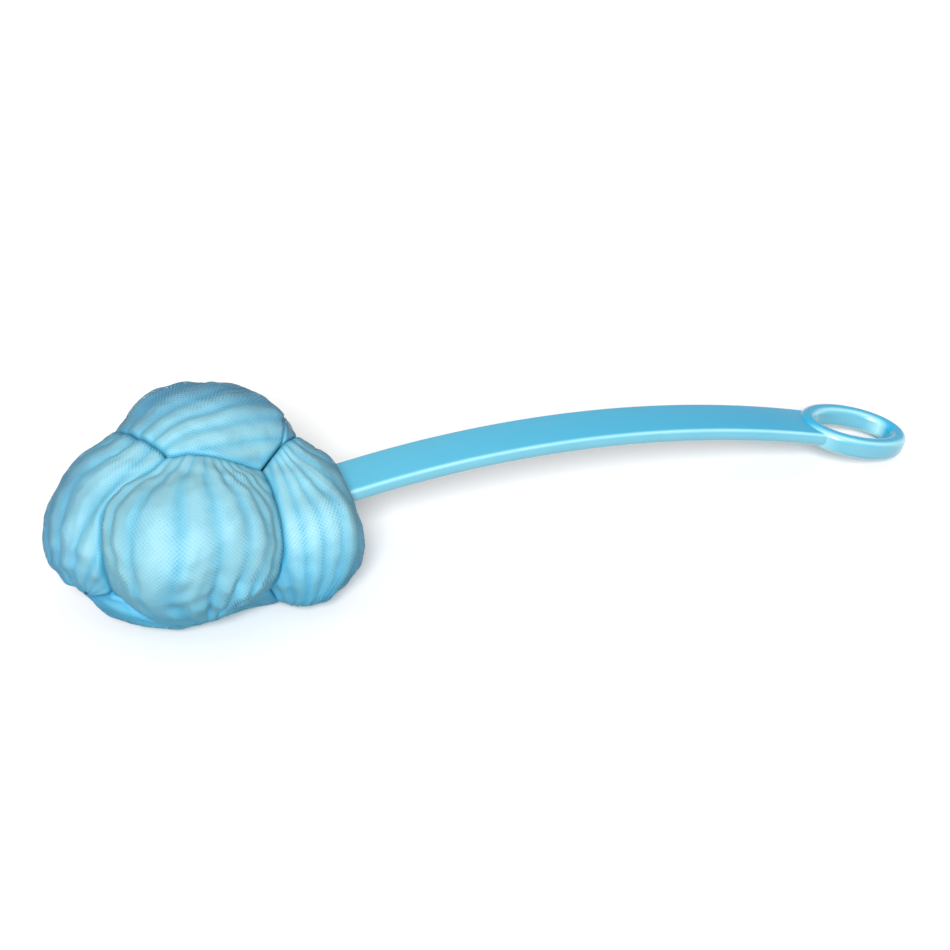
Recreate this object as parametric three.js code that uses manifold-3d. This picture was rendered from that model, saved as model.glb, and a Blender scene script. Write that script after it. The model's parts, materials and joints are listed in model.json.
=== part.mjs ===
// Loofah back scrubber: a gathered netting pouf bound to the end of a long curved plastic handle.
// Millimetres, +Z up. The handle runs along +X from the pouf to its hanging ring, and the
// origin is under the middle of the whole object, on the surface that it lies on.

import * as THREE from 'three';
import { mergeVertices } from 'three/addons/utils/BufferGeometryUtils.js';
import Module from 'manifold-3d';

const wasm = await Module();
wasm.setup();

// ---------------------------------------------------------------- driving dimensions

const GAP = 0.3; // left between pieces that touch

// The handle's strip is one arc. Its slope is level at the crown, MOUTH_SLOPE where it enters
// the pouf and -RING_SLOPE where it meets the ring.
const ARC_RADIUS = 492;
const MOUTH_SLOPE = THREE.MathUtils.degToRad(6.9);
const RING_SLOPE = THREE.MathUtils.degToRad(17.4);
const STRIP_WIDTH = 25;
const STRIP_THICKNESS = 6.2;
const STRIP_EDGE_RADIUS = 2.2;

const RING_LENGTH = 54.2;
const RING_WIDTH = 38.6;
const RING_WALL = 7.5;
const RING_HEIGHT = 9.6;
const RING_EDGE_RADIUS = 3;
const RING_SIDES = 36;

// Inside the pouf the strip narrows to a round stem that ends in a spool.
const SHOULDER_LENGTH = 10;
const TAPER_LENGTH = 14;
const STEM_RADIUS = 5;
const KNOT_DISTANCE = 68.7; // from the pouf's mouth to the middle of the spool
const FLANGE_RADIUS = 9;
const FLANGE_THICKNESS = 3;
const GROOVE_RADIUS = 4.5;
const GROOVE_WIDTH = 11;
const TIP_LENGTH = 4;
const TIP_CHAMFER = 1.5;
const FLANGE_CHAMFER = 0.8;

const CORD_RADIUS = 1.2;
const CORD_TURNS = 3;
const CORD_PITCH = 2.5;
const KNOT_RADIUS = 3.2;
const TAIL_REACH = 11; // from the stem's axis to the tails
const TAIL_LENGTH = 8; // from the turns to each tail's end

// The pouf's hollow middle is a round channel, so that the pouf can turn about the stem.
const CHANNEL_RADIUS = 13.8;
const CHANNEL_PAST_TIP = 3;
const BEYOND = 400; // long enough to reach past anything that is cut

// Each length of netting puffs out into one lobe. Centres are from the middle of the spool, and
// the half axes are along X, Y and Z, turned so that the first lies along axis where there is one.
const LOBES = [
  { name: 'netting_front', centre: [-12, -26, 12], half: [39, 32, 31] },
  {
    name: 'netting_left',
    centre: [-38, 2, 12.5],
    half: [35, 26.5, 25],
    axis: [0.71, 0.42, 0.56],
  },
  { name: 'netting_right', centre: [37, -15, -1], half: [23.5, 35, 31.5] },
  { name: 'netting_right_back', centre: [31, 15, 0], half: [24, 28, 23] },
  { name: 'netting_top', centre: [4, 18, 24.5], half: [35.5, 31, 28] },
  { name: 'netting_top_right', centre: [26, 18, 23], half: [14, 17, 15.5] },
  { name: 'netting_back', centre: [-16, 33, -0.5], half: [34, 25, 28] },
  { name: 'netting_bottom', centre: [-2, -4, -13], half: [49, 39, 22] },
];
const LOBE_AROUND = 24;
const LOBE_DOWN = 14;

const STRIP_STEPS = 44;
const STEM_SIDES = 20;
const CORD_STEPS = 80;
const CORD_STEPS_PER_TURN = 12;

// ---------------------------------------------------------------- materials

const plastic = new THREE.MeshStandardMaterial({ color: 0x35b4df, roughness: 0.25, metalness: 0 });
const netting = new THREE.MeshStandardMaterial({ color: 0x86cfe6, roughness: 0.7, metalness: 0 });
const cordFibre = new THREE.MeshStandardMaterial({ color: 0xe6eef0, roughness: 0.8, metalness: 0 });

// ---------------------------------------------------------------- helpers

function toSolid(geometry) {
  const bare = geometry.clone();
  bare.deleteAttribute('normal');
  bare.deleteAttribute('uv');
  const merged = mergeVertices(bare, 1e-4);
  const mesh = new wasm.Mesh({
    numProp: 3,
    vertProperties: new Float32Array(merged.attributes.position.array),
    triVerts: new Uint32Array(merged.index.array),
  });
  return new wasm.Manifold(mesh);
}

function toGeometry(solid) {
  const mesh = solid.getMesh();
  const geometry = new THREE.BufferGeometry();
  geometry.setAttribute('position', new THREE.BufferAttribute(mesh.vertProperties, 3));
  geometry.setIndex(new THREE.BufferAttribute(mesh.triVerts, 1));
  geometry.computeVertexNormals();
  return geometry;
}

function namedMesh(name, solid, material) {
  const mesh = new THREE.Mesh(toGeometry(solid), material);
  mesh.name = name;
  return mesh;
}

// A point of the strip's centreline, by its slope there. The crown is at the origin.
function arcPoint(slope) {
  return new THREE.Vector3(-ARC_RADIUS * Math.sin(slope), 0, ARC_RADIUS * (Math.cos(slope) - 1));
}

// Places a solid whose own +X runs along the handle at a point of it with the given slope.
function alongHandle(geometry, point, slope) {
  return geometry.clone().rotateY(-slope).translate(point.x, point.y, point.z);
}

function ellipsePoints(halfLength, halfWidth) {
  const points = [];
  for (let i = 0; i < RING_SIDES; i += 1) {
    const angle = ((i + 0.5) * 2 * Math.PI) / RING_SIDES;
    points.push(new THREE.Vector2(halfLength * Math.cos(angle), halfWidth * Math.sin(angle)));
  }
  return points;
}

// ---------------------------------------------------------------- handle

const mouthPoint = arcPoint(MOUTH_SLOPE);
const ringRoot = arcPoint(-RING_SLOPE);
const stemDirection = new THREE.Vector3(Math.cos(MOUTH_SLOPE), 0, Math.sin(MOUTH_SLOPE));
const ringDirection = new THREE.Vector3(Math.cos(RING_SLOPE), 0, -Math.sin(RING_SLOPE));
const knotPoint = mouthPoint.clone().addScaledVector(stemDirection, -KNOT_DISTANCE);
const ringCentre = ringRoot.clone().addScaledVector(ringDirection, RING_LENGTH / 2);

// The strip's centreline: straight inside the pouf, the arc, then straight on into the ring.
class StripLine extends THREE.Curve {
  constructor() {
    super();
    this.before = SHOULDER_LENGTH + TAPER_LENGTH;
    this.arc = ARC_RADIUS * (MOUTH_SLOPE + RING_SLOPE);
    this.after = RING_LENGTH / 4;
  }

  getPoint(t, target = new THREE.Vector3()) {
    const along = t * (this.before + this.arc + this.after) - this.before;
    if (along < 0) {
      return target.copy(mouthPoint).addScaledVector(stemDirection, along);
    }
    if (along > this.arc) {
      return target.copy(ringRoot).addScaledVector(ringDirection, along - this.arc);
    }
    return target.copy(arcPoint(MOUTH_SLOPE - along / ARC_RADIUS));
  }
}

function roundedSection(width, height, radius) {
  const x = width / 2;
  const y = height / 2;
  const shape = new THREE.Shape();
  shape.moveTo(-x + radius, -y);
  shape.lineTo(x - radius, -y);
  shape.absarc(x - radius, -y + radius, radius, -Math.PI / 2, 0);
  shape.lineTo(x, y - radius);
  shape.absarc(x - radius, y - radius, radius, 0, Math.PI / 2);
  shape.lineTo(-x + radius, y);
  shape.absarc(-x + radius, y - radius, radius, Math.PI / 2, Math.PI);
  shape.lineTo(-x, -y + radius);
  shape.absarc(-x + radius, -y + radius, radius, Math.PI, 1.5 * Math.PI);
  return shape;
}

function makeStrip() {
  const section = roundedSection(STRIP_WIDTH, STRIP_THICKNESS, STRIP_EDGE_RADIUS);
  return new THREE.ExtrudeGeometry(section, {
    steps: STRIP_STEPS,
    extrudePath: new StripLine(),
    curveSegments: 2,
  });
}

// What is cut from one side (1 or -1) of the strip's hidden end, so that it tapers to the stem.
function makeTaperCut(side) {
  const start = -SHOULDER_LENGTH;
  const end = start - TAPER_LENGTH - 1;
  const outside = side * STRIP_WIDTH;
  const shape = new THREE.Shape();
  shape.moveTo(start, outside);
  shape.lineTo(start, side * (STRIP_WIDTH / 2));
  shape.quadraticCurveTo(start, side * STEM_RADIUS, end, side * (STEM_RADIUS - TIP_CHAMFER));
  shape.lineTo(end, outside);
  const cut = new THREE.ExtrudeGeometry(shape, {
    depth: 2 * STRIP_THICKNESS,
    bevelEnabled: false,
    curveSegments: 8,
  });
  return alongHandle(cut.translate(0, 0, -STRIP_THICKNESS), mouthPoint, MOUTH_SLOPE);
}

function makeRing() {
  const round = RING_EDGE_RADIUS;
  const outer = ellipsePoints(RING_LENGTH / 2 - round, RING_WIDTH / 2 - round);
  const inner = ellipsePoints(
    RING_LENGTH / 2 - RING_WALL + round,
    RING_WIDTH / 2 - RING_WALL + round,
  );
  const shape = new THREE.Shape(outer);
  shape.holes.push(new THREE.Path(inner));
  const ring = new THREE.ExtrudeGeometry(shape, {
    depth: RING_HEIGHT - 2 * round,
    bevelThickness: round,
    bevelSize: round,
    bevelSegments: 3,
  });
  return alongHandle(ring.translate(0, 0, -RING_HEIGHT / 2 + round), ringCentre, -RING_SLOPE);
}

// The ring's hole up to the middle of its wall, which trims the strip's end inside it.
function makeRingCore() {
  const shape = new THREE.Shape(
    ellipsePoints(RING_LENGTH / 2 - RING_WALL / 2, RING_WIDTH / 2 - RING_WALL / 2),
  );
  const core = new THREE.ExtrudeGeometry(shape, { depth: 2 * RING_HEIGHT, bevelEnabled: false });
  return alongHandle(core.translate(0, 0, -RING_HEIGHT), ringCentre, -RING_SLOPE);
}

// Turns a profile of [distance along the stem from the knot, radius] about the stem.
function turnedOnStem(profile, sides) {
  const points = profile.map(([along, radius]) => new THREE.Vector2(radius, along));
  const turned = new THREE.LatheGeometry(points, sides);
  turned.rotateZ(-Math.PI / 2);
  return alongHandle(turned, knotPoint, MOUTH_SLOPE);
}

function makeStem() {
  const inner = GROOVE_WIDTH / 2;
  const outer = inner + FLANGE_THICKNESS;
  const stripStart = KNOT_DISTANCE - SHOULDER_LENGTH;
  return turnedOnStem(
    [
      [-outer - TIP_LENGTH, 0],
      [-outer - TIP_LENGTH, STEM_RADIUS - TIP_CHAMFER],
      [-outer - TIP_LENGTH + TIP_CHAMFER, STEM_RADIUS],
      [-outer, STEM_RADIUS],
      [-outer, FLANGE_RADIUS - FLANGE_CHAMFER],
      [-outer + FLANGE_CHAMFER, FLANGE_RADIUS],
      [-inner, FLANGE_RADIUS],
      [-inner, GROOVE_RADIUS],
      [inner, GROOVE_RADIUS],
      [inner, FLANGE_RADIUS],
      [outer - FLANGE_CHAMFER, FLANGE_RADIUS],
      [outer, FLANGE_RADIUS - FLANGE_CHAMFER],
      [outer, STEM_RADIUS],
      [stripStart - TIP_CHAMFER, STEM_RADIUS],
      [stripStart, STRIP_THICKNESS / 2 - GAP],
      [stripStart, 0],
    ],
    STEM_SIDES,
  );
}

function makeHandle() {
  return toSolid(makeStrip())
    .subtract(toSolid(makeTaperCut(1)))
    .subtract(toSolid(makeTaperCut(-1)))
    .subtract(toSolid(makeRingCore()))
    .add(toSolid(makeRing()))
    .add(toSolid(makeStem()));
}

// ---------------------------------------------------------------- binding cord

// One cord: a tail, the turns in the spool's groove, and a tail back out through the knot.
function makeCord() {
  const turnRadius = GROOVE_RADIUS + 2 * GAP + CORD_RADIUS;
  const wound = CORD_TURNS * CORD_PITCH;
  const turns = CORD_TURNS * CORD_STEPS_PER_TURN;
  const points = [];
  const onStem = (along, radius, angle) =>
    new THREE.Vector3(along, radius * Math.cos(angle), radius * Math.sin(angle));
  const knotAngle = -Math.PI / 2;
  const bend = 0.1;
  points.push(onStem(wound / 2 + TAIL_LENGTH, TAIL_REACH, knotAngle));
  points.push(onStem(wound / 2 + TAIL_LENGTH / 2, TAIL_REACH, knotAngle));
  points.push(onStem(wound / 2 + GAP, TAIL_REACH - GAP, knotAngle - bend));
  for (let i = 1; i < turns; i += 1) {
    const part = i / turns;
    const angle = knotAngle + part * CORD_TURNS * 2 * Math.PI;
    points.push(onStem(wound / 2 - part * wound, turnRadius, angle));
  }
  const endAngle = knotAngle + CORD_TURNS * 2 * Math.PI;
  points.push(onStem(-wound / 2 - GAP, TAIL_REACH - GAP, endAngle + bend));
  points.push(onStem(-wound / 2 - TAIL_LENGTH / 2, TAIL_REACH, endAngle));
  points.push(onStem(-wound / 2 - TAIL_LENGTH, TAIL_REACH, endAngle));
  const section = new THREE.Shape().absarc(0, 0, CORD_RADIUS, 0, 2 * Math.PI);
  const cord = new THREE.ExtrudeGeometry(section, {
    steps: CORD_STEPS,
    extrudePath: new THREE.CatmullRomCurve3(points),
    curveSegments: 4,
  });
  return alongHandle(cord, knotPoint, MOUTH_SLOPE);
}

function makeKnot() {
  const knot = new THREE.SphereGeometry(KNOT_RADIUS, 14, 10);
  return alongHandle(knot.translate(0, 0, KNOT_RADIUS / 2 - TAIL_REACH), knotPoint, MOUTH_SLOPE);
}

// ---------------------------------------------------------------- netting lobes

function lobeCentre(lobe) {
  return knotPoint.clone().add(new THREE.Vector3(...lobe.centre));
}

// The turn that carries +X to the lobe's axis.
function lobeTurn(lobe) {
  const axis = new THREE.Vector3(...(lobe.axis ?? [1, 0, 0])).normalize();
  return new THREE.Quaternion().setFromUnitVectors(new THREE.Vector3(1, 0, 0), axis);
}

function makeBlob(lobe, grow = 0) {
  const blob = new THREE.SphereGeometry(1, LOBE_AROUND, LOBE_DOWN);
  blob.rotateX(Math.PI / 2).scale(...lobe.half.map((half) => half + grow));
  blob.applyQuaternion(lobeTurn(lobe));
  const centre = lobeCentre(lobe);
  return toSolid(blob.translate(centre.x, centre.y, centre.z));
}

// How far a lobe reaches from its centre along a direction.
function reach(lobe, direction) {
  const [x, y, z] = lobe.half;
  const own = direction.clone().applyQuaternion(lobeTurn(lobe).invert());
  return 1 / Math.hypot(own.x / x, own.y / y, own.z / z);
}

// A block that fills everything past a plane.
function pastPlane(point, normal) {
  const block = new THREE.BoxGeometry(BEYOND, BEYOND, BEYOND).translate(0, 0, BEYOND / 2);
  const turn = new THREE.Quaternion().setFromUnitVectors(new THREE.Vector3(0, 0, 1), normal);
  block.applyQuaternion(turn).translate(point.x, point.y, point.z);
  return toSolid(block);
}

// What a neighbour takes from a lobe: its own side of the plane where the two press together.
function takenBy(lobe, other) {
  const centre = lobeCentre(lobe);
  const normal = lobeCentre(other).sub(centre);
  const apart = normal.length();
  normal.normalize();
  const share = reach(lobe, normal) / (reach(lobe, normal) + reach(other, normal));
  const plane = pastPlane(centre.addScaledVector(normal, apart * share - GAP / 2), normal);
  return makeBlob(other, GAP).intersect(plane);
}

function makeChannel() {
  const end = -(GROOVE_WIDTH / 2 + FLANGE_THICKNESS + TIP_LENGTH + CHANNEL_PAST_TIP);
  return toSolid(
    turnedOnStem(
      [
        [end, 0],
        [end, CHANNEL_RADIUS],
        [BEYOND / 4, CHANNEL_RADIUS],
        [BEYOND / 4, 0],
      ],
      LOBE_AROUND,
    ),
  );
}

function makeLobe(lobe, channel, floor) {
  let solid = makeBlob(lobe).subtract(channel).subtract(floor);
  for (const other of LOBES) {
    if (other !== lobe) {
      solid = solid.subtract(takenBy(lobe, other));
    }
  }
  return solid;
}

// ---------------------------------------------------------------- assembly

const scrubber = new THREE.Group();
scrubber.name = 'loofah_back_scrubber';

const handle = makeHandle();
scrubber.add(namedMesh('handle', handle, plastic));
scrubber.add(namedMesh('binding_cord', toSolid(makeCord()).add(toSolid(makeKnot())), cordFibre));

// The ring and the pouf rest on the same surface.
const floorHeight = handle.boundingBox().min[2];
const floor = pastPlane(new THREE.Vector3(0, 0, floorHeight), new THREE.Vector3(0, 0, -1));
const channel = makeChannel();
for (const lobe of LOBES) {
  scrubber.add(namedMesh(lobe.name, makeLobe(lobe, channel, floor), netting));
}

const bounds = new THREE.Box3().setFromObject(scrubber);
const middle = bounds.getCenter(new THREE.Vector3());
scrubber.position.set(-middle.x, -middle.y, -bounds.min.z);
scrubber.updateMatrixWorld(true);

export default scrubber;
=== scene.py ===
"""A loofah back scrubber: a gathered netting pouf bound to a long curved plastic handle.

Everything is in metres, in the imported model's frame: +X runs from the pouf to the hanging ring,
+Z is up, and the scrubber rests on z = 0.
"""
import json
import math

import bmesh
import bpy
import numpy as np
from mathutils import Matrix, Vector


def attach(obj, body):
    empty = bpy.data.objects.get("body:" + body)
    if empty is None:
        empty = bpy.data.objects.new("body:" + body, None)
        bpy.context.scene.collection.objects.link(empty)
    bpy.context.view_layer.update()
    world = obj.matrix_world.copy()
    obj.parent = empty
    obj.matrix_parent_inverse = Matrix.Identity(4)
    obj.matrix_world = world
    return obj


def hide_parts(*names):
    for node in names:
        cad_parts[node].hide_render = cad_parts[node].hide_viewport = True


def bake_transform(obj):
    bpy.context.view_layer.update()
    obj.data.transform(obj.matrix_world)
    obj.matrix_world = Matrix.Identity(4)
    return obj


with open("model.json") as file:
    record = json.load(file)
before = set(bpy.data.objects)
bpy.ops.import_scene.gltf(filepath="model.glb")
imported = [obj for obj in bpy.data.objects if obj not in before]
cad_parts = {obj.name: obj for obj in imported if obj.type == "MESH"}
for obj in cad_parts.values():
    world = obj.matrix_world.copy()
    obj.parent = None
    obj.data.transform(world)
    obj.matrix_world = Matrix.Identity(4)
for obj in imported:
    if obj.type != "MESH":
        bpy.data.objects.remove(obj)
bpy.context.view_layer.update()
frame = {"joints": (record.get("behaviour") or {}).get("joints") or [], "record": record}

MM = 0.001

# ---------------------------------------------------------------- places taken from the frame

joint = next(j for j in frame["joints"] if j["name"] == "pouf_twist")
mounts = {m["name"]: m for m in frame["record"]["mounts"]}

KNOT = np.array(joint["pos_m"])
STEM = np.array(joint["axis"]) / np.linalg.norm(joint["axis"])
SIDE = np.array([0.0, 1.0, 0.0])
STEM_UP = np.cross(STEM, SIDE)
MOUTH_SLOPE = math.asin(STEM[2])

SEAT = np.array(mounts["hang_seat"]["pos_m"])
SEAT_AXIS = np.array(mounts["hang_seat"]["axis"])
RING_SLOPE = math.asin(SEAT_AXIS[2])

# ---------------------------------------------------------------- driving dimensions

ARC_RADIUS = 492 * MM
STRIP_WIDTH = 25 * MM
STRIP_THICKNESS = 6.2 * MM
STRIP_EDGE = 2.6 * MM
KNOT_DISTANCE = 68.7 * MM

RING_LENGTH = 54.2 * MM
RING_WIDTH = 38.6 * MM
RING_WALL = 7.5 * MM
RING_HEIGHT = 9.6 * MM
RING_EDGE = 3.2 * MM

SHOULDER = 10 * MM
TAPER = 14 * MM
STEM_RADIUS = 5 * MM
FLANGE_RADIUS = 9 * MM
FLANGE_THICKNESS = 3 * MM
GROOVE_RADIUS = 4.5 * MM
GROOVE_WIDTH = 11 * MM
TIP = 4 * MM
TIP_CHAMFER = 1.5 * MM
FLANGE_CHAMFER = 0.8 * MM
STEP = 0.01 * MM  # the length over which the spool's radius jumps
NEARLY_ROUND = 0.999  # a corner's share of the half width, just short of a full circle
STRIP_INTO_RING = 0.97  # how far through the ring's wall the strip goes
TAPER_STEPS = 24
STRIP_STEPS = 150
RING_STEPS = 160
SHARP_ANGLE = 32  # degrees between faces, above which an edge is shaded sharp

CORD_RADIUS = 1.2 * MM
CORD_TURNS = 3
CORD_PITCH = 2.5 * MM
CORD_GAP = 0.6 * MM
KNOT_RADIUS = 3.2 * MM
TAIL_REACH = 11 * MM
TAIL_LENGTH = 8 * MM
KNOT_STEPS = 24

# The netting. A mesh of the net is one diamond of strands, STITCH_WIDTH by STITCH_HEIGHT.
STITCH_WIDTH = 2.1 * MM
STITCH_HEIGHT = 1.5 * MM
STRAND_HALF = 0.22 * MM
STRAND_RISE = 0.1 * MM
NET_LIFT = 0.7 * MM  # from the bundle's surface to the outer net
PLEAT_DEPTH = 1.7 * MM
PLEAT_UNEVENNESS = (0.05, 0.22)
SWAY_LENGTH = 60 * MM  # over which pleats wander sideways
FADE_LENGTH = 30 * MM  # over which they come and go
SWELL_LENGTH = 38 * MM
SWELL = 0.3 * MM  # how uneven the lobes are
WRINKLE_LENGTH = 10 * MM
CRUMPLE_LENGTH = 4 * MM
CRUMPLE_DEPTH = 0.08 * MM
SHADED_DEPTH = 9 * MM  # how near a crease a fold begins to darken
FILL = 4 * MM  # how far the creases between lobes are filled in
PRESS = 0.1  # how softly a lobe turns into the flat where it presses on a neighbour
CREASE_GAP = 0.4 * MM
HIDDEN_NET = 7 * MM  # how deep into a crease the outer net goes
BOXY = 2.25  # 2 would make plain ellipsoids of the lobes, and more makes them squarer
LEAN = 0.38  # how far each lobe's gathered ends are turned towards the pouf's middle
SHIFT_LENGTH = 48 * MM  # the size and depth of the pouf's larger irregularities
SHIFT_AMOUNT = 1.2 * MM
CALM_RADIUS = 25 * MM  # near the stem, where they fade out
BUNDLE_LIFT = 0.4 * MM  # from the resting plane to the bundles
BUNDLE_STEPS = (180, 100)
STEM_REACH = 20 * MM  # from the spool's middle past the stem's tip
SLOT_GAP = 1.4 * MM  # left round the strip where the netting closes over it
POLE_HOLE = 0.03  # part of a lobe's length left open where it is gathered

CHANNEL_GAP = 0.6 * MM  # round the stem and strip inside the pouf
CHANNEL_PAST_MOUTH = 40 * MM
CHAMBER_RADIUS = 13.6 * MM  # the room round the spool, its cord and the cord's tails
CHAMBER_LENGTH = 27 * MM

MOUTH = KNOT + STEM * KNOT_DISTANCE
HEART = KNOT + np.array([0, 2, 6]) * MM  # the middle of the pouf, where all the netting meets

# Painted shade: the netting is coloured palest on the front lobe, and darker and bluer low down and
# round the pouf's far sides.
LOW_SHADE_BELOW = 14 * MM
LOW_SHADE_ENDS_ABOVE = 46 * MM
LIT_MIDDLE = KNOT + np.array([-5, -45, 25]) * MM
RIM_SHADE_STARTS = 54 * MM
RIM_SHADE_FULL = 76 * MM

# Each length of netting puffs out into one lobe. Centres are from the middle of the spool. The
# half axes are along X, Y and Z, turned so that the first lies along axis where a lobe has one.
# pole is the direction along which the net is gathered.
LOBES = [
    dict(
        name="front", centre=(-12, -25, 11), half=(37, 30, 29.5),
        pole=(0.2, 0.52, 1.0), pleats=31,
    ),
    dict(
        name="left", centre=(-37, 2, 13), half=(33, 25.5, 23), axis=(0.71, 0.42, 0.56),
        pole=(0.71, 0.42, 0.56), pleats=17,
    ),
    dict(
        name="right", centre=(37, -14, 0), half=(22.5, 33.5, 30.5),
        pole=(-0.1, 0.5, 1.0), pleats=22,
    ),
    dict(
        name="right_back", centre=(31, 15, 0), half=(22, 26, 21),
        pole=(-0.2, -0.3, 1.0), pleats=18,
    ),
    dict(
        name="top", centre=(4, 18.5, 24.5), half=(33.5, 29, 27),
        pole=(1.0, 0.3, -0.2), pleats=19,
    ),
    dict(
        name="top_right", centre=(27.5, 15, 24), half=(12, 16, 13),
        pole=(0.3, 1.0, 0.3), pleats=12,
    ),
    dict(
        name="back", centre=(-16, 33, -0.5), half=(33, 24, 27),
        pole=(0.2, -0.3, 1.0), pleats=20,
    ),
    dict(
        name="bottom", centre=(-4, -1, -13), half=(49.5, 36, 20.5),
        pole=(1.0, 0.1, 0.1), pleats=22,
    ),
]

# ---------------------------------------------------------------- camera, floor and light

CAMERA_AZIMUTH = math.radians(-20)
CAMERA_ELEVATION = math.radians(33)
CAMERA_DISTANCE = 963.4 * MM
AIM_RIGHT = 46.76 * MM  # from the mouth to the middle of the picture
AIM_UP = 0.76 * MM
SENSOR_WIDTH = 36  # in mm, as is the focal length
FOCAL_LENGTH = 86.9

WORLD_STRENGTH = 0.5
KEY_AZIMUTH = -20
KEY_ELEVATION = 36
KEY_SPREAD = 20
KEY_STRENGTH = 4.0
FLOOR_HALF = 6.0


def facing(azimuth, elevation):
    """Right, up and back vectors of something that looks at the object from there."""
    right = Vector((math.cos(azimuth), math.sin(azimuth), 0))
    back = Vector(
        (
            math.sin(azimuth) * math.cos(elevation),
            -math.cos(azimuth) * math.cos(elevation),
            math.sin(elevation),
        )
    )
    return right, back.cross(right), back


def placed(right, up, back, position):
    matrix = Matrix((right, up, back)).transposed().to_4x4()
    matrix.translation = position
    return matrix


def make_camera():
    right, up, back = facing(CAMERA_AZIMUTH, CAMERA_ELEVATION)
    aim = Vector(MOUTH) + right * AIM_RIGHT + up * AIM_UP
    camera = bpy.data.objects.new("camera", bpy.data.cameras.new("camera"))
    camera.data.lens = FOCAL_LENGTH
    camera.data.sensor_width = SENSOR_WIDTH
    camera.matrix_world = placed(right, up, back, aim + back * CAMERA_DISTANCE)
    bpy.context.scene.collection.objects.link(camera)
    bpy.context.scene.camera = camera


def make_sun(name, azimuth, elevation, spread, strength):
    """A far soft light, spread degrees across as the object sees it."""
    right, up, back = facing(math.radians(azimuth), math.radians(elevation))
    light = bpy.data.lights.new(name, "SUN")
    light.angle = math.radians(spread)
    light.energy = strength
    lamp = bpy.data.objects.new(name, light)
    lamp.matrix_world = placed(right, up, back, Vector(MOUTH) + back)
    bpy.context.scene.collection.objects.link(lamp)


def make_world(strength):
    world = bpy.data.worlds.new("studio")
    world.use_nodes = True
    world.node_tree.nodes["Background"].inputs["Color"].default_value = (1, 1, 1, 1)
    world.node_tree.nodes["Background"].inputs["Strength"].default_value = strength
    bpy.context.scene.world = world


def make_floor():
    material = bpy.data.materials.new("floor")
    material.use_nodes = True
    shader = material.node_tree.nodes["Principled BSDF"]
    shader.inputs["Base Color"].default_value = (0.93, 0.93, 0.93, 1)
    shader.inputs["Roughness"].default_value = 0.9
    shader.inputs["Specular IOR Level"].default_value = 0.1
    half = FLOOR_HALF
    mesh = bpy.data.meshes.new("floor")
    corners = [(-half, -half, 0), (half, -half, 0), (half, half, 0), (-half, half, 0)]
    mesh.from_pydata(corners, [], [(0, 1, 2, 3)])
    mesh.materials.append(material)
    floor = bpy.data.objects.new("floor", mesh)
    bpy.context.scene.collection.objects.link(floor)
    floor.visible_diffuse = False


# ---------------------------------------------------------------- mesh helpers


def enclosed(points, faces):
    """The volume inside closed faces, negative where they face inwards."""
    total = 0.0
    for corners in faces:
        for k in range(1, corners.shape[1] - 1):
            a, b, c = points[corners[:, 0]], points[corners[:, k]], points[corners[:, k + 1]]
            total += (a * np.cross(b, c)).sum()
    return total / 6


def build_object(name, points, faces, material, uv=None, values=None, normals=None):
    """An object from numpy points and a list of face arrays, with optional UVs and point values."""
    mesh = bpy.data.meshes.new(name)
    if enclosed(points, faces) < 0:
        faces = [f[:, ::-1] for f in faces]
    loops = np.concatenate([f.ravel() for f in faces]).astype(np.int32)
    sizes = np.concatenate([np.full(len(f), f.shape[1]) for f in faces])
    starts = np.concatenate([[0], np.cumsum(sizes)[:-1]]).astype(np.int32)
    mesh.vertices.add(len(points))
    mesh.vertices.foreach_set("co", np.ascontiguousarray(points, dtype=np.float32).ravel())
    mesh.loops.add(len(loops))
    mesh.loops.foreach_set("vertex_index", loops)
    mesh.polygons.add(len(sizes))
    mesh.polygons.foreach_set("loop_start", starts)
    mesh.update(calc_edges=True)
    mesh.polygons.foreach_set("use_smooth", np.ones(len(sizes), dtype=bool))
    if uv is not None:
        layer = mesh.uv_layers.new(name="OFBake")
        layer.data.foreach_set("uv", np.ascontiguousarray(uv[loops], dtype=np.float32).ravel())
    for key, value in (values or {}).items():
        attribute = mesh.attributes.new(key, "FLOAT", "POINT")
        attribute.data.foreach_set("value", np.ascontiguousarray(value, dtype=np.float32))
    mesh.materials.append(material)
    if normals is not None:
        mesh.normals_split_custom_set_from_vertices(normals)
    thing = bpy.data.objects.new(name, mesh)
    bpy.context.scene.collection.objects.link(thing)
    return thing


def sharpen(mesh, angle):
    """Marks the edges that turn by more than angle, so that smooth shading stops at them."""
    edit = bmesh.new()
    edit.from_mesh(mesh)
    for edge in edit.edges:
        turn = edge.calc_face_angle(0)
        edge.smooth = turn < angle
    edit.to_mesh(mesh)
    edit.free()


def join_solids(first, *others):
    """Unites closed objects into the first one."""
    for other in others:
        union = first.modifiers.new("union", "BOOLEAN")
        union.operation = "UNION"
        union.solver = "EXACT"
        union.object = other
        graph = bpy.context.evaluated_depsgraph_get()
        joined = bpy.data.meshes.new_from_object(first.evaluated_get(graph))
        first.modifiers.clear()
        first.data = joined
        bpy.data.objects.remove(other)
    return first


class Waves:
    """A smooth random field over space: a sum of plane waves near one wavelength."""

    def __init__(self, seed, wavelength, count=20):
        random = np.random.default_rng(seed)
        directions = random.normal(size=(count, 3))
        directions /= np.linalg.norm(directions, axis=1, keepdims=True)
        self.waves = directions * (2 * math.pi / wavelength) * random.uniform(0.7, 1.4, (count, 1))
        self.phases = random.uniform(0, 2 * math.pi, count)
        self.scale = math.sqrt(2 / count)

    def __call__(self, points):
        return np.sin(points @ self.waves.T + self.phases).sum(axis=1) * self.scale


# ---------------------------------------------------------------- materials


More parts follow.
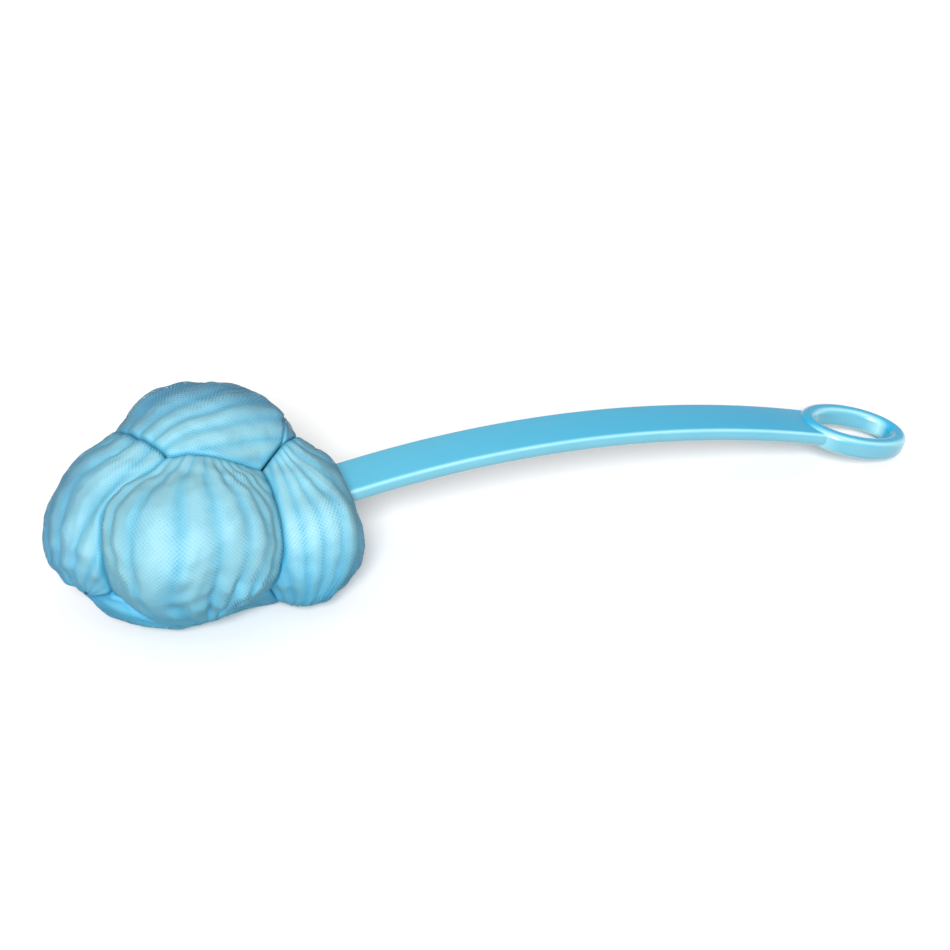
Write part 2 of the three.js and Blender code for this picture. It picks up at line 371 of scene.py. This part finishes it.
class Nodes:
    """A short way to write a material's nodes."""

    def __init__(self, name):
        self.material = bpy.data.materials.new(name)
        self.material.use_nodes = True
        self.tree = self.material.node_tree
        self.shader = self.tree.nodes["Principled BSDF"]

    def add(self, kind, **settings):
        node = self.tree.nodes.new(kind)
        for key, value in settings.items():
            setattr(node, key, value)
        return node

    def link(self, source, target):
        self.tree.links.new(source, target)

    def noise(self, scale, detail=3.0):
        where = self.add("ShaderNodeTexCoord")
        noise = self.add("ShaderNodeTexNoise")
        noise.inputs["Scale"].default_value = scale
        noise.inputs["Detail"].default_value = detail
        self.link(where.outputs["Object"], noise.inputs["Vector"])
        return noise.outputs["Fac"]

    def ramp(self, value, *stops):
        ramp = self.add("ShaderNodeValToRGB")
        elements = ramp.color_ramp.elements
        while len(elements) < len(stops):
            elements.new(0.5)
        for element, (position, colour) in zip(elements, stops):
            element.position = position
            element.color = (*colour, 1)
        self.link(value, ramp.inputs["Fac"])
        return ramp.outputs["Color"]

    def mix(self, factor, first, second, blend="MIX"):
        mix = self.add("ShaderNodeMix", data_type="RGBA", blend_type=blend)
        if isinstance(factor, (int, float)):
            mix.inputs[0].default_value = factor
        else:
            self.link(factor, mix.inputs[0])
        self.link(first, mix.inputs[6])
        self.link(second, mix.inputs[7])
        return mix.outputs[2]

    def bump(self, height, strength, distance):
        bump = self.add("ShaderNodeBump")
        bump.inputs["Strength"].default_value = strength
        bump.inputs["Distance"].default_value = distance
        self.link(height, bump.inputs["Height"])
        self.link(bump.outputs["Normal"], self.shader.inputs["Normal"])


BLACK = (0.0, 0.0, 0.0)
WHITE = (1.0, 1.0, 1.0)


def plastic_material():
    nodes = Nodes("cyan_plastic")
    shader = nodes.shader
    where = nodes.add("ShaderNodeTexCoord")
    place = nodes.add("ShaderNodeSeparateXYZ")
    nodes.link(where.outputs["Object"], place.inputs["Vector"])
    # Painted light: the strip is coloured lighter near the pouf and darker towards the ring.
    along = nodes.add("ShaderNodeMapRange")
    along.inputs["From Min"].default_value = MOUTH[0]
    along.inputs["From Max"].default_value = SEAT[0]
    nodes.link(place.outputs["X"], along.inputs["Value"])
    painted_light_along = nodes.ramp(along.outputs["Result"], (0.0, (0.085, 0.46, 0.65)), (0.75, (0.004, 0.37, 0.62)))
    # Painted sheen: faces turned sideways take a paler, whiter colour than the top face.
    turned = nodes.add("ShaderNodeSeparateXYZ")
    nodes.link(where.outputs["Normal"], turned.inputs["Vector"])
    edge = nodes.add("ShaderNodeMath", operation="ABSOLUTE")
    nodes.link(turned.outputs["Y"], edge.inputs[0])
    painted_side_sheen = nodes.ramp(nodes.noise(45, 2.0), (0.3, (0.12, 0.39, 0.50)), (0.7, (0.14, 0.41, 0.52)))
    faces = nodes.mix(edge.outputs["Value"], painted_light_along, painted_side_sheen)
    # Painted highlight: a pale band along the rounded edges between the top and the sides.
    corner = nodes.ramp(edge.outputs["Value"], (0.2, BLACK), (0.62, WHITE), (0.9, BLACK))
    painted_edge_highlight = nodes.ramp(nodes.noise(60, 2.0), (0.3, (0.30, 0.62, 0.68)), (0.7, (0.36, 0.66, 0.70)))
    nodes.link(nodes.mix(corner, faces, painted_edge_highlight), shader.inputs["Base Color"])
    shader.inputs["Roughness"].default_value = 0.26
    shader.inputs["Subsurface Weight"].default_value = 0.25
    shader.inputs["Subsurface Radius"].default_value = (0.2, 0.7, 1.0)
    shader.inputs["Subsurface Scale"].default_value = 0.004
    shader.inputs["Coat Weight"].default_value = 0.5
    shader.inputs["Coat Roughness"].default_value = 0.12
    nodes.bump(nodes.noise(420, 2.0), 0.06, 0.0004)
    return nodes.material


def net_material(name, shaded_valley, lit_ridge, bump):
    nodes = Nodes(name)
    shader = nodes.shader
    # Painted shade: pleat valleys and the creases between lobes are coloured darker than the open
    # ridges.
    painted_crease_shade = nodes.add("ShaderNodeAttribute", attribute_name="painted_crease_shade")
    crease_shaded = nodes.ramp(painted_crease_shade.outputs["Fac"], (0.0, shaded_valley), (1.0, lit_ridge))
    patches = nodes.ramp(nodes.noise(160, 4.0), (0.3, (0.88, 0.93, 0.96)), (0.7, (1.0, 1.0, 1.0)))
    tone_and_painted_shade = nodes.mix(1.0, crease_shaded, patches, "MULTIPLY")
    where = nodes.add("ShaderNodeTexCoord")
    place = nodes.add("ShaderNodeSeparateXYZ")
    nodes.link(where.outputs["Object"], place.inputs["Vector"])
    # Painted shade: darker and bluer low down, towards the floor.
    low = nodes.add("ShaderNodeMapRange")
    low.inputs["From Min"].default_value = LOW_SHADE_BELOW
    low.inputs["From Max"].default_value = LOW_SHADE_ENDS_ABOVE
    nodes.link(place.outputs["Z"], low.inputs["Value"])
    painted_low_shade = nodes.ramp(low.outputs["Result"], (0.0, (0.36, 0.80, 0.98)), (1.0, (1.0, 1.0, 1.0)))
    tone_and_painted_shade = nodes.mix(1.0, tone_and_painted_shade, painted_low_shade, "MULTIPLY")
    # Painted shade: darker and bluer the farther from the front middle, round the pouf's rims and far
    # sides.
    apart = nodes.add("ShaderNodeVectorMath", operation="DISTANCE")
    nodes.link(where.outputs["Object"], apart.inputs[0])
    apart.inputs[1].default_value = LIT_MIDDLE
    far = nodes.add("ShaderNodeMapRange")
    far.inputs["From Min"].default_value = RIM_SHADE_STARTS
    far.inputs["From Max"].default_value = RIM_SHADE_FULL
    nodes.link(apart.outputs["Value"], far.inputs["Value"])
    painted_rim_shade = nodes.ramp(far.outputs["Result"], (0.0, (1.0, 1.0, 1.0)), (1.0, (0.48, 0.64, 0.77)))
    nodes.link(nodes.mix(1.0, tone_and_painted_shade, painted_rim_shade, "MULTIPLY"), shader.inputs["Base Color"])
    shader.inputs["Roughness"].default_value = 0.55
    nodes.bump(nodes.noise(1500, 3.0), bump, 0.0004)
    return nodes.material


def cord_material():
    nodes = Nodes("cord_fibre")
    colour = nodes.ramp(nodes.noise(900, 4.0), (0.3, (0.62, 0.70, 0.72)), (0.7, (0.85, 0.88, 0.88)))
    nodes.link(colour, nodes.shader.inputs["Base Color"])
    nodes.shader.inputs["Roughness"].default_value = 0.8
    nodes.bump(nodes.noise(2500, 2.0), 0.5, 0.0003)
    return nodes.material


# ---------------------------------------------------------------- handle


def rounded_section(half_width, half_height, radius, corner_steps=7):
    """Points (across, up) of a rectangle with rounded corners, anticlockwise."""
    points = []
    for quarter, (x, y) in enumerate([(1, 1), (-1, 1), (-1, -1), (1, -1)]):
        for step in range(corner_steps + 1):
            angle = (quarter + step / corner_steps) * math.pi / 2
            across = x * (half_width - radius) + radius * math.cos(angle)
            up = y * (half_height - radius) + radius * math.sin(angle)
            points.append((across, up))
    return np.array(points)


def closed_tube_faces(count, around):
    """Quads of a tube of count rings, and its two end caps."""
    i = np.arange(around)
    j = np.arange(count - 1)[:, None]
    a = j * around + i
    b = j * around + (i + 1) % around
    quads = np.stack([a, b, b + around, a + around], axis=-1).reshape(-1, 4)
    start = np.arange(around)[::-1][None]
    end = ((count - 1) * around + np.arange(around))[None]
    return [quads, start, end]


def line_point(along):
    """Centreline point and slope at a distance from the mouth towards the ring."""
    arc_length = ARC_RADIUS * (MOUTH_SLOPE + RING_SLOPE)
    crown = MOUTH + ARC_RADIUS * np.array([math.sin(MOUTH_SLOPE), 0, 1 - math.cos(MOUTH_SLOPE)])
    if along < 0:
        return MOUTH + STEM * along, MOUTH_SLOPE
    slope = MOUTH_SLOPE - min(along, arc_length) / ARC_RADIUS
    point = crown + ARC_RADIUS * np.array([-math.sin(slope), 0, math.cos(slope) - 1])
    past = max(0.0, along - arc_length)
    return point + past * np.array([math.cos(slope), 0, math.sin(slope)]), slope


def handle_profile():
    """(distance from the mouth, half width, half height, corner radius) along strip and stem."""
    outer = GROOVE_WIDTH / 2 + FLANGE_THICKNESS
    inner = GROOVE_WIDTH / 2
    chamfer = FLANGE_CHAMFER

    def round_part(from_knot, radius):
        return (from_knot - KNOT_DISTANCE, radius, radius, radius * NEARLY_ROUND)

    profile = [
        round_part(-outer - TIP, STEM_RADIUS - TIP_CHAMFER),
        round_part(-outer - TIP + TIP_CHAMFER / 3, STEM_RADIUS - TIP_CHAMFER * 0.4),
        round_part(-outer - TIP + TIP_CHAMFER, STEM_RADIUS),
        round_part(-outer - STEP, STEM_RADIUS),
        round_part(-outer, FLANGE_RADIUS - chamfer),
        round_part(-outer + chamfer, FLANGE_RADIUS),
        round_part(-inner - STEP, FLANGE_RADIUS),
        round_part(-inner, GROOVE_RADIUS),
        round_part(inner, GROOVE_RADIUS),
        round_part(inner + STEP, FLANGE_RADIUS),
        round_part(outer - chamfer, FLANGE_RADIUS),
        round_part(outer, FLANGE_RADIUS - chamfer),
        round_part(outer + STEP, STEM_RADIUS),
    ]
    round_edge = STEM_RADIUS * NEARLY_ROUND
    for step in range(TAPER_STEPS + 1):
        part = step / TAPER_STEPS
        ease = part * part * (3 - 2 * part)
        profile.append(
            (
                -SHOULDER - TAPER * (1 - part),
                STEM_RADIUS + (STRIP_WIDTH / 2 - STEM_RADIUS) * ease,
                STEM_RADIUS + (STRIP_THICKNESS / 2 - STEM_RADIUS) * ease,
                round_edge + (STRIP_EDGE - round_edge) * ease,
            )
        )
    arc_length = ARC_RADIUS * (MOUTH_SLOPE + RING_SLOPE)
    end = arc_length + RING_WALL * STRIP_INTO_RING
    for step in range(1, STRIP_STEPS + 1):
        along = -SHOULDER + (end + SHOULDER) * step / STRIP_STEPS
        profile.append((along, STRIP_WIDTH / 2, STRIP_THICKNESS / 2, STRIP_EDGE))
    return profile


def sweep(name, profile, material):
    """A closed body that follows the strip's centreline, with a rounded section at each place."""
    rings = []
    for along, half_width, half_height, radius in profile:
        point, slope = line_point(along)
        up = np.array([-math.sin(slope), 0, math.cos(slope)])
        section = rounded_section(half_width, half_height, radius)
        rings.append(point - section[:, :1] * SIDE + section[:, 1:] * up)
    around = len(rings[0])
    return build_object(name, np.concatenate(rings), closed_tube_faces(len(rings), around), material)


def make_ring(material):
    """The hanging ring: a rounded section between two ellipses."""
    arc_length = ARC_RADIUS * (MOUTH_SLOPE + RING_SLOPE)
    centre, slope = line_point(arc_length + RING_LENGTH / 2)
    forward = np.array([math.cos(slope), 0, math.sin(slope)])
    up = np.array([-math.sin(slope), 0, math.cos(slope)])
    section = rounded_section(RING_WALL / 2, RING_HEIGHT / 2, RING_EDGE)
    around = RING_STEPS
    rings = []
    for i in range(around):
        angle = 2 * math.pi * i / around
        part = section[:, :1] / RING_WALL + 0.5
        length = RING_LENGTH / 2 - RING_WALL * (1 - part)
        width = RING_WIDTH / 2 - RING_WALL * (1 - part)
        points = centre + length * math.cos(angle) * forward + width * math.sin(angle) * SIDE
        rings.append(points + section[:, 1:] * up)
    count = len(section)
    i = np.arange(count)
    j = np.arange(around)[:, None]
    a = j * count + i
    b = j * count + (i + 1) % count
    c = (j + 1) % around * count + (i + 1) % count
    d = (j + 1) % around * count + i
    quads = np.stack([d, c, b, a], axis=-1).reshape(-1, 4)
    return build_object("ring", np.concatenate(rings), [quads], material)


def make_handle(material):
    handle = join_solids(sweep("handle_moulding", handle_profile(), material), make_ring(material))
    sharpen(handle.data, math.radians(SHARP_ANGLE))
    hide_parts("handle")
    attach(handle, "handle")
    return handle


# ---------------------------------------------------------------- netting


def turned_to(axis):
    """A turn, as columns of a matrix, that carries +X to axis by the shortest way."""
    quaternion = Vector((1, 0, 0)).rotation_difference(Vector(axis))
    return np.array(quaternion.to_matrix())


class Lobe:
    """One puffed length of netting: its shape as a function of where a point lies on the net."""

    def __init__(self, spec, seed):
        self.name = spec["name"]
        self.centre = KNOT + np.array(spec["centre"]) * MM
        self.half = np.array(spec["half"]) * MM
        self.turn = turned_to(spec.get("axis", (1, 0, 0)))
        self.pleats = spec["pleats"]
        pole = np.array(spec["pole"], dtype=float)
        self.pole = pole / np.linalg.norm(pole)
        helper = np.array([0.0, 0.0, 1.0]) if abs(self.pole[2]) < 0.8 else np.array([1.0, 0.0, 0.0])
        self.first = np.cross(helper, self.pole)
        self.first /= np.linalg.norm(self.first)
        self.second = np.cross(self.pole, self.first)
        inward = HEART - self.centre
        self.lean = LEAN * inward / np.linalg.norm(inward)
        random = np.random.default_rng(seed)
        self.warp = []
        for k in (1, 2, 3, 5):
            amount = random.uniform(*PLEAT_UNEVENNESS) / k
            self.warp.append((k, amount, random.uniform(0, 2 * math.pi)))
        self.sway = Waves(seed + 1, SWAY_LENGTH)
        self.swell = Waves(seed + 2, SWELL_LENGTH)
        self.fade = Waves(seed + 3, FADE_LENGTH)
        self.wrinkle = Waves(seed + 4, WRINKLE_LENGTH)
        self.crumple = Waves(seed + 5, CRUMPLE_LENGTH)

    def scaled(self, offset):
        """An offset from the centre, in units of the lobe's half axes."""
        return offset @ self.turn / self.half

    def spokes(self, u, v):
        """Vectors from the centre to the plain ellipsoid."""
        polar = math.pi * (POLE_HOLE / 2 + (1 - POLE_HOLE) * v)
        angle = 2 * math.pi * u
        ring = np.cos(angle)[:, None] * self.first + np.sin(angle)[:, None] * self.second
        unit = np.sin(polar)[:, None] * ring + np.cos(polar)[:, None] * self.pole + self.lean
        unit /= np.linalg.norm(unit, axis=1, keepdims=True)
        return (unit @ self.turn) * self.half @ self.turn.T, polar, angle

    def distance(self, points):
        """Roughly how far points are outside the lobe."""
        offset = points - self.centre
        out = np.linalg.norm(offset, axis=1)
        size = (np.abs(self.scaled(offset)) ** BOXY).sum(axis=1) ** (1 / BOXY)
        return out * (1 - 1 / np.maximum(size, 1e-6))

    def reaches(self, spokes):
        """How far along each spoke the lobe's share goes, and where the pouf's softened outline is."""
        steps = np.linspace(0.2, 1.9, 35)
        found = np.full((2, len(spokes)), steps[-1])
        open_still = np.ones((2, len(spokes)), dtype=bool)
        before = None
        for t in steps:
            points = self.centre + spokes * t
            distances = np.stack([lobe.distance(points) for lobe in LOBE_SHAPES])
            own = np.array([lobe is self for lobe in LOBE_SHAPES])
            share = distances[own][0] - distances[~own].min(axis=0)
            outside = -FILL * np.log(np.exp(-np.clip(distances / FILL, -20, 20)).sum(axis=0))
            now = np.stack([share, outside])
            passed = open_still & (now > 0)
            if before is None:
                found[passed] = t
            else:
                part = now / np.maximum(now - before, 1e-9)
                found[passed] = (t - (steps[1] - steps[0]) * np.clip(part, 0, 1))[passed]
            open_still &= ~passed
            before = now
        return found

    def shape(self, u, v, inset):
        """Points of the net, the painted crease shade (1 on open pleat ridges, less in pleat valleys and
        near creases), and the room left there.
        """
        spokes, polar, angle = self.spokes(u, v)
        length = np.linalg.norm(spokes, axis=1)
        room, outline = self.reaches(spokes)
        room = room - (CREASE_GAP + inset) / length
        plain = self.centre + spokes
        for k, amount, phase in self.warp:
            angle = angle + amount * np.sin(k * angle + phase)
        phase = self.pleats / 2 * angle + 0.4 * self.sway(plain)
        pleat = np.abs(np.sin(phase)) ** 0.6
        gather = np.abs(np.sin(3 * phase + 0.8 * self.sway(plain[:, ::-1]))) ** 0.8
        tight = np.clip(1.7 * np.sin(polar), 0, 1)
        loose = np.clip(np.abs(np.cos(polar)) * 1.2, 0, 1)
        depth = PLEAT_DEPTH * np.clip(0.9 + 0.3 * self.fade(plain), 0.4, 1.5) * tight
        height = (pleat - 1) * depth + SWELL * self.swell(plain)
        height += (gather - 0.6) * (0.35 + 0.7 * loose) * MM * tight
        height += (0.18 + 0.2 * loose) * MM * self.wrinkle(plain)
        height += CRUMPLE_DEPTH * self.crumple(plain)
        reach = outline + (height - inset) / length
        spare = np.clip(0.5 + (room - reach) / (2 * PRESS), 0, 1)
        part = room * (1 - spare) + reach * spare - PRESS * spare * (1 - spare)
        points = self.centre + spokes * part[:, None]
        spare = (room - reach) * length
        # Painted shade: the second value returned is lower in pleat valleys and near creases, where the
        # netting gets its darker colour.
        opened = np.clip(spare / SHADED_DEPTH + 0.4, 0, 1)
        return points, (0.25 + 0.75 * pleat) * opened, spare


SHIFT = [Waves(seed, SHIFT_LENGTH) for seed in (11, 12, 13)]


def shifted(points):
    """Pushes the whole pouf a little out of regular shape, all its pieces together."""
    offset = points - KNOT
    along = offset @ STEM
    beside = np.linalg.norm(offset - along[:, None] * STEM, axis=1)
    free = np.clip(beside / CALM_RADIUS - 0.5, 0, 1)
    push = np.stack([wave(points) for wave in SHIFT], axis=-1)
    return points + SHIFT_AMOUNT * push * free[:, None]


LOBE_SHAPES = [Lobe(spec, 100 * (i + 1)) for i, spec in enumerate(LOBES)]


def in_slot(points, gap):
    """Which points lie inside the handle's strip and stem, with a gap round them."""
    offset = points - KNOT
    along = offset @ STEM
    across = np.abs(offset @ SIDE)
    up = np.abs(offset @ STEM_UP)
    strip = (along > KNOT_DISTANCE - SHOULDER - TAPER) & (across < STRIP_WIDTH / 2 + gap)
    strip &= up < STRIP_THICKNESS / 2 + gap
    stem = (np.hypot(across, up) < FLANGE_RADIUS + gap) & (along > -STEM_REACH)
    stem &= along < KNOT_DISTANCE - SHOULDER
    return strip | stem


def lattice_normals(points, rows, columns):
    """Outward normals at the nodes of a net whose odd rows are shifted by half a mesh."""
    grid = points.reshape(rows + 1, columns, 3)
    along = np.roll(grid, -1, axis=1) - np.roll(grid, 1, axis=1)
    after = np.minimum(np.arange(rows + 1) + 2, rows - rows % 2 + np.arange(rows + 1) % 2)
    after = np.where(after > rows, after - 2, after)
    before = np.arange(rows + 1) - 2
    before = np.where(before < 0, before + 2, before)
    down = grid[after] - grid[before]
    normal = np.cross(down, along)
    length = np.linalg.norm(normal, axis=2, keepdims=True)
    return (normal / np.maximum(length, 1e-12)).reshape(-1, 3)


def evened(fields, keep):
    """Slides the rows of a closed grid of fields along its columns until they are evenly spaced.

    The first three fields are the position. keep is how much of the first spacing is left.
    """
    length = np.linalg.norm(np.diff(fields[..., :3], axis=0), axis=2)
    along = np.concatenate([np.zeros((1, fields.shape[1])), np.cumsum(length, axis=0)])
    plain = np.linspace(0, 1, len(fields))
    result = np.empty_like(fields)
    for column in range(fields.shape[1]):
        at = (1 - keep) * along[:, column] / along[-1, column] + keep * plain
        for channel in range(fields.shape[2]):
            result[:, column, channel] = np.interp(plain, at, fields[:, column, channel])
    return result


def even_grid(lobe, inset, around=200, down=130):
    """Positions, painted crease shade and room on a grid over a lobe whose meshes are all about one
    size.
    """
    j, i = np.meshgrid(np.arange(down + 1), np.arange(around), indexing="ij")
    points, painted_crease_shade, room = lobe.shape((i / around).ravel(), (j / down).ravel(), inset)
    fields = np.column_stack([shifted(points), painted_crease_shade, room]).reshape(down + 1, around, 5)
    for _ in range(2):
        fields = evened(fields, 0.1)
        ring = np.concatenate([fields, fields[:, :1]], axis=1)
        fields = evened(ring.transpose(1, 0, 2), 0.25).transpose(1, 0, 2)[:, :-1]
    return fields


def sampled(fields, u, v):
    """Values of a grid of fields between its points. u wraps round and v runs from 0 to 1."""
    rows, columns, _ = fields.shape
    x = u * columns
    y = np.clip(v * (rows - 1), 0, rows - 1.001)
    i = np.floor(x).astype(int)
    j = np.floor(y).astype(int)
    x = (x - i)[:, None]
    y = (y - j)[:, None]
    i, n = i % columns, (i + 1) % columns
    near = fields[j, i] * (1 - x) + fields[j, n] * x
    far = fields[j + 1, i] * (1 - x) + fields[j + 1, n] * x
    return near * (1 - y) + far * y


def make_net(lobe, material):
    """The outer net of a lobe: real strands round diamond meshes, closed all round."""
    mid = lobe.half.mean()
    columns = int(2 * math.pi * mid * 1.05 / STITCH_WIDTH)
    rows = int(math.pi * mid * 1.02 / (STITCH_HEIGHT / 2)) // 2 * 2
    j, i = np.meshgrid(np.arange(rows + 1), np.arange(columns), indexing="ij")
    u = ((i + 0.5 * (j % 2)) / columns).ravel()
    v = (j / rows).ravel()
    fields = sampled(even_grid(lobe, 0.0), u, v)
    points, painted_crease_shade, room = fields[:, :3], fields[:, 3], fields[:, 4]
    points[:, 2] = np.maximum(points[:, 2], 2 * STRAND_RISE)
    normal = lattice_normals(points, rows, columns)
    normal *= np.sign((normal * (points - lobe.centre)).sum(axis=1).mean())

    j, i = np.meshgrid(np.arange(rows - 1), np.arange(columns), indexing="ij")
    odd = j % 2
    a = j * columns + i
    b = (j + 1) * columns + (i + odd) % columns
    c = (j + 2) * columns + i
    d = (j + 1) * columns + (i + odd - 1) % columns
    corners = np.stack([a, b, c, d], axis=-1).reshape(-1, 4)
    centre = points[corners].mean(axis=1)
    keep = (room[corners].min(axis=1) > -HIDDEN_NET) & ~in_slot(centre, SLOT_GAP)
    keep &= centre[:, 2] > 2 * STRAND_RISE
    corners = corners[keep]
    centre = centre[keep]

    wide = np.linalg.norm(points[corners[:, 1]] - points[corners[:, 3]], axis=1) / 2
    tall = np.linalg.norm(points[corners[:, 0]] - points[corners[:, 2]], axis=1) / 2
    inner = wide * tall / np.maximum(np.hypot(wide, tall), 1e-9)
    inset = np.clip(STRAND_HALF / np.maximum(inner, 1e-9), 0.2, 0.72)
    holes = points[corners] * (1 - inset[:, None, None]) + centre[:, None, :] * inset[:, None, None]

    count = len(points)
    cells = len(corners)
    top = points + normal * STRAND_RISE
    low = points - normal * STRAND_RISE
    everything = np.concatenate([top, low, holes.reshape(-1, 3)])
    hole = 2 * count + np.arange(4 * cells).reshape(-1, 4)
    quads = []
    for k in range(4):
        n = (k + 1) % 4
        quads.append(np.stack([corners[:, k], corners[:, n], hole[:, n], hole[:, k]], axis=-1))
        under = [corners[:, n] + count, corners[:, k] + count, hole[:, k], hole[:, n]]
        quads.append(np.stack(under, axis=-1))
    edges = np.concatenate([corners[:, [k, (k + 1) % 4]] for k in range(4)])
    low_end = edges.min(axis=1)
    high_end = edges.max(axis=1)
    key = low_end.astype(np.int64) * count + high_end
    _, index, times = np.unique(key, return_index=True, return_counts=True)
    rim = edges[index[times == 1]]
    quads.append(np.stack([rim[:, 1], rim[:, 0], rim[:, 0] + count, rim[:, 1] + count], axis=-1))
    quads = np.concatenate(quads)

    unit = np.stack([u, v], axis=-1)
    around = unit[corners]
    middle = np.stack([around[:, 0, 0], around[:, [0, 2], 1].mean(axis=1)], axis=-1)
    hole_uv = np.repeat(middle, 4, axis=0)
    uv = np.concatenate([unit, unit, hole_uv])
    painted_crease_shades = np.concatenate([painted_crease_shade, painted_crease_shade, np.repeat(painted_crease_shade[corners].mean(axis=1), 4)])

    strand_normals = np.concatenate([normal, normal, np.repeat(normal[corners].mean(axis=1), 4, axis=0)])
    used = np.unique(quads)
    place = np.zeros(len(everything), dtype=np.int64)
    place[used] = np.arange(len(used))
    net = build_object(
        f"net_{lobe.name}",
        everything[used],
        [place[quads]],
        material,
        uv=uv[used],
        values={"painted_crease_shade": painted_crease_shades[used]},
        normals=strand_normals[used],
    )
    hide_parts(f"netting_{lobe.name}")
    return net


def make_bundle(lobe, material):
    """The gathered layers under the outer net, as one soft closed body."""
    around, down = BUNDLE_STEPS
    j, i = np.meshgrid(np.arange(down + 1), np.arange(around), indexing="ij")
    u = (i / around).ravel()
    v = (j / down).ravel()
    points, painted_crease_shade, _ = lobe.shape(u, v, NET_LIFT)
    points = shifted(points)
    points[:, 2] = np.maximum(points[:, 2], BUNDLE_LIFT)
    quads, start, end = closed_tube_faces(down + 1, around)
    bundle = build_object(
        f"bundle_{lobe.name}",
        points,
        [quads, start, end],
        material,
        uv=np.stack([u, v], axis=-1),
        values={"painted_crease_shade": painted_crease_shade},
    )
    return bundle


def channel_profile():
    """The room inside the pouf for the spool and its cord, the stem and the strip."""
    profile = []
    for from_knot in (-CHAMBER_LENGTH / 2, CHAMBER_LENGTH / 2):
        corner = CHAMBER_RADIUS * NEARLY_ROUND
        profile.append((from_knot - KNOT_DISTANCE, CHAMBER_RADIUS, CHAMBER_RADIUS, corner))
    for along, half_width, half_height, radius in handle_profile():
        if CHAMBER_LENGTH / 2 - KNOT_DISTANCE < along < CHANNEL_PAST_MOUTH:
            wider = half_width + CHANNEL_GAP
            higher = half_height + CHANNEL_GAP
            profile.append((along, wider, higher, radius + CHANNEL_GAP / 2))
    return profile


def carve(piece, channel):
    """Takes the channel out of a closed piece."""
    cut = piece.modifiers.new("cut", "BOOLEAN")
    cut.operation = "DIFFERENCE"
    cut.solver = "EXACT"
    cut.object = channel
    graph = bpy.context.evaluated_depsgraph_get()
    carved = bpy.data.meshes.new_from_object(piece.evaluated_get(graph))
    piece.modifiers.clear()
    piece.data = carved


def make_pouf():
    net = net_material("net_strands", (0.07, 0.44, 0.64), (0.29, 0.57, 0.65), 0.2)
    # The inner layers are given darker colours than the outer strands: painted shade of the netting
    # inside, under the outer net.
    layers = net_material("net_layers", (0.05, 0.36, 0.57), (0.24, 0.54, 0.65), 0.6)
    channel = sweep("channel", channel_profile(), layers)
    for lobe in LOBE_SHAPES:
        bundle = make_bundle(lobe, layers)
        carve(bundle, channel)
        for piece in (make_net(lobe, net), bundle):
            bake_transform(piece)
    bpy.data.objects.remove(channel)


# ---------------------------------------------------------------- binding cord


def stem_point(along, radius, angle):
    return KNOT + STEM * along + radius * (math.cos(angle) * SIDE + math.sin(angle) * STEM_UP)


def cord_path():
    """Points of the cord: a tail, the knot, the turns in the groove and the other tail."""
    wound = CORD_PITCH * CORD_TURNS
    radius = GROOVE_RADIUS + CORD_GAP + CORD_RADIUS
    tie = -math.pi / 2
    tail = np.linspace(0, TAIL_LENGTH, 9)
    rise = np.linspace(radius, TAIL_REACH, 6)[1:-1]
    path = [stem_point(wound / 2 + along, TAIL_REACH, tie) for along in tail[::-1]]
    path += [stem_point(wound / 2, reach, tie) for reach in rise[::-1]]
    for angle in np.linspace(0, 2 * math.pi * CORD_TURNS, 40 * CORD_TURNS + 1):
        path.append(stem_point(wound / 2 - CORD_PITCH * angle / (2 * math.pi), radius, tie + angle))
    path += [stem_point(-wound / 2, reach, tie) for reach in rise]
    path += [stem_point(-wound / 2 - along, TAIL_REACH, tie) for along in tail]
    return np.array(path)


def make_cord():
    """The binding cord: a round cord wound in the groove, and its knot."""
    path = cord_path()
    for _ in range(3):
        path[1:-1] = (path[:-2] + 2 * path[1:-1] + path[2:]) / 4
    ahead = np.gradient(path, axis=0)
    ahead /= np.linalg.norm(ahead, axis=1, keepdims=True)
    beside = np.cross(ahead, STEM + 0.3 * SIDE)
    beside /= np.linalg.norm(beside, axis=1, keepdims=True)
    over = np.cross(ahead, beside)
    around = 16
    angles = np.arange(around) * 2 * math.pi / around
    rings = path[:, None] + CORD_RADIUS * (
        np.cos(angles)[:, None] * beside[:, None] + np.sin(angles)[:, None] * over[:, None]
    )
    material = cord_material()
    faces = closed_tube_faces(len(path), around)
    cord = build_object("cord", rings.reshape(-1, 3), faces, material)
    sides = KNOT_STEPS
    polar = np.linspace(0.02, math.pi - 0.02, sides)
    turn = np.arange(sides) * 2 * math.pi / sides
    ball = np.stack(
        [
            np.cos(polar)[:, None] * np.ones(sides),
            np.sin(polar)[:, None] * np.cos(turn),
            np.sin(polar)[:, None] * np.sin(turn),
        ],
        axis=-1,
    ).reshape(-1, 3)
    centre = stem_point(0, TAIL_REACH - KNOT_RADIUS / 2, -math.pi / 2)
    knot = build_object("knot", centre + KNOT_RADIUS * ball, closed_tube_faces(sides, sides), material)
    cord = join_solids(cord, knot)
    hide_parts("binding_cord")
    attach(cord, "pouf")


# ---------------------------------------------------------------- everything

bpy.context.scene.view_settings.view_transform = "Standard"

make_camera()
make_floor()
make_world(WORLD_STRENGTH)
make_sun("key", KEY_AZIMUTH, KEY_ELEVATION, KEY_SPREAD, KEY_STRENGTH)

make_handle(plastic_material())
make_cord()
make_pouf()
